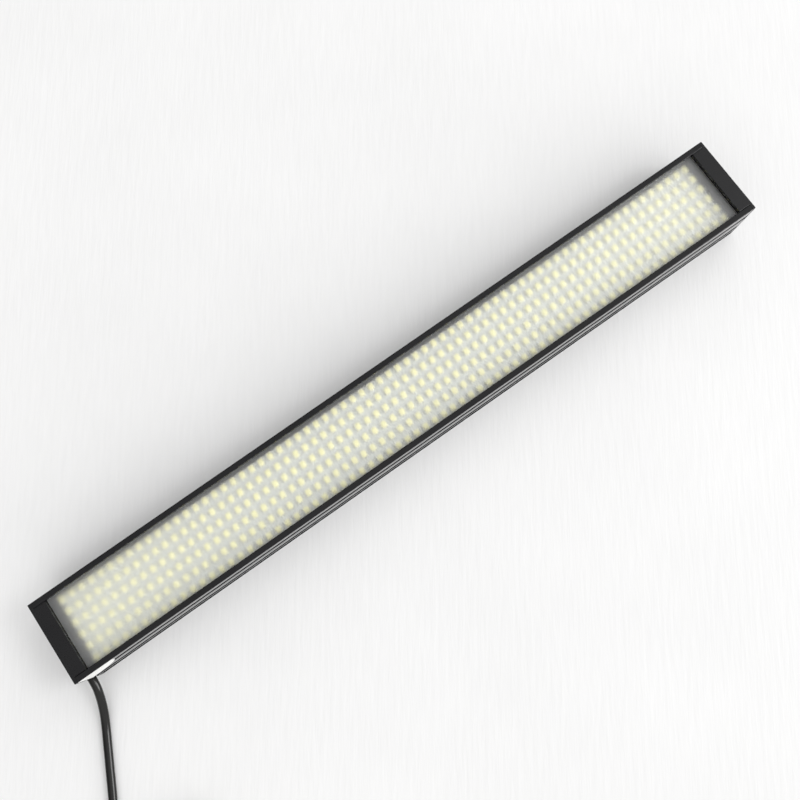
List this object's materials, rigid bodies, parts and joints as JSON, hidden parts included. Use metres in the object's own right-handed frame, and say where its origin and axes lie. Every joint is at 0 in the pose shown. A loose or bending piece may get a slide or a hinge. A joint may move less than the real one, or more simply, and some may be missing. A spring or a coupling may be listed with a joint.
{
  "type": "led bar light",
  "caption": "Slim linear LED lamp bar: slotted black aluminium housing, frosted window over a dense LED field, side slots with captive nuts and a short coiled lead.",
  "frame": {"origin": "centre of the bar's back face, on the surface it lies on, measured without the free lead", "axes": "+X along the bar away from the lead's end, +Z the way the light shines, +Y across the bar"},
  "size_m": [0.413, 0.165, 0.032],
  "materials": {
    "black_anodised": "satin black anodised extrusion",
    "end_cap_black": "fine-milled black anodised plate",
    "black_screws": "black oxide",
    "frosted_acrylic": "frosted translucent acrylic",
    "white_solder_mask": "white solder mask",
    "thermal_pad": "soft grey heat-conducting pad",
    "led_package": "white package with a yellow phosphor lens",
    "resistor_body": "black glazed film",
    "red_insulation": "smooth",
    "black_insulation": "smooth",
    "zinc_nut": "zinc plated",
    "white_label": "blank white film",
    "moulded_rubber": "matt moulded",
    "cable_jacket": "satin PVC jacket",
    "black_tie": "satin",
    "plug_plastic": "natural nylon",
    "contact_brass": "plated"
  },
  "bodies": {
    "lamp": {"housing": "black_anodised", "end_cap_left": "end_cap_black", "end_cap_right": "end_cap_black", "end_screws_left": "black_screws", "end_screws_right": "black_screws", "diffuser": "frosted_acrylic", "led_board": "white_solder_mask", "thermal_pad": "thermal_pad", "led_row_1": "led_package", "led_row_2": "led_package", "led_row_3": "led_package", "led_row_4": "led_package", "led_row_5": "led_package", "led_row_6": "led_package", "resistors": "resistor_body", "lead_wire_red": "red_insulation", "lead_wire_black": "black_insulation", "blank_label": "white_label", "cable_elbow": "moulded_rubber", "cable": "cable_jacket", "cable_coil": "cable_jacket", "coil_tie": "black_tie", "plug_housing": "plug_plastic", "plug_contacts": "contact_brass"},
    "nut_1": {"slot_nut_1": "zinc_nut"},
    "nut_2": {"slot_nut_2": "zinc_nut"},
    "nut_3": {"slot_nut_3": "zinc_nut"},
    "nut_4": {"slot_nut_4": "zinc_nut"}
  },
  "joints": [
    {"name": "nut_1_slide", "type": "slide", "parent": "lamp", "child": "nut_1", "axis": [1, 0, 0], "range_m": [-0.0585, 0.115]},
    {"name": "nut_2_slide", "type": "slide", "parent": "lamp", "child": "nut_2", "axis": [1, 0, 0], "range_m": [-0.115, 0.0585]},
    {"name": "nut_3_slide", "type": "slide", "parent": "lamp", "child": "nut_3", "axis": [1, 0, 0], "range_m": [-0.0585, 0.115]},
    {"name": "nut_4_slide", "type": "slide", "parent": "lamp", "child": "nut_4", "axis": [1, 0, 0], "range_m": [-0.115, 0.0585]}
  ]
}
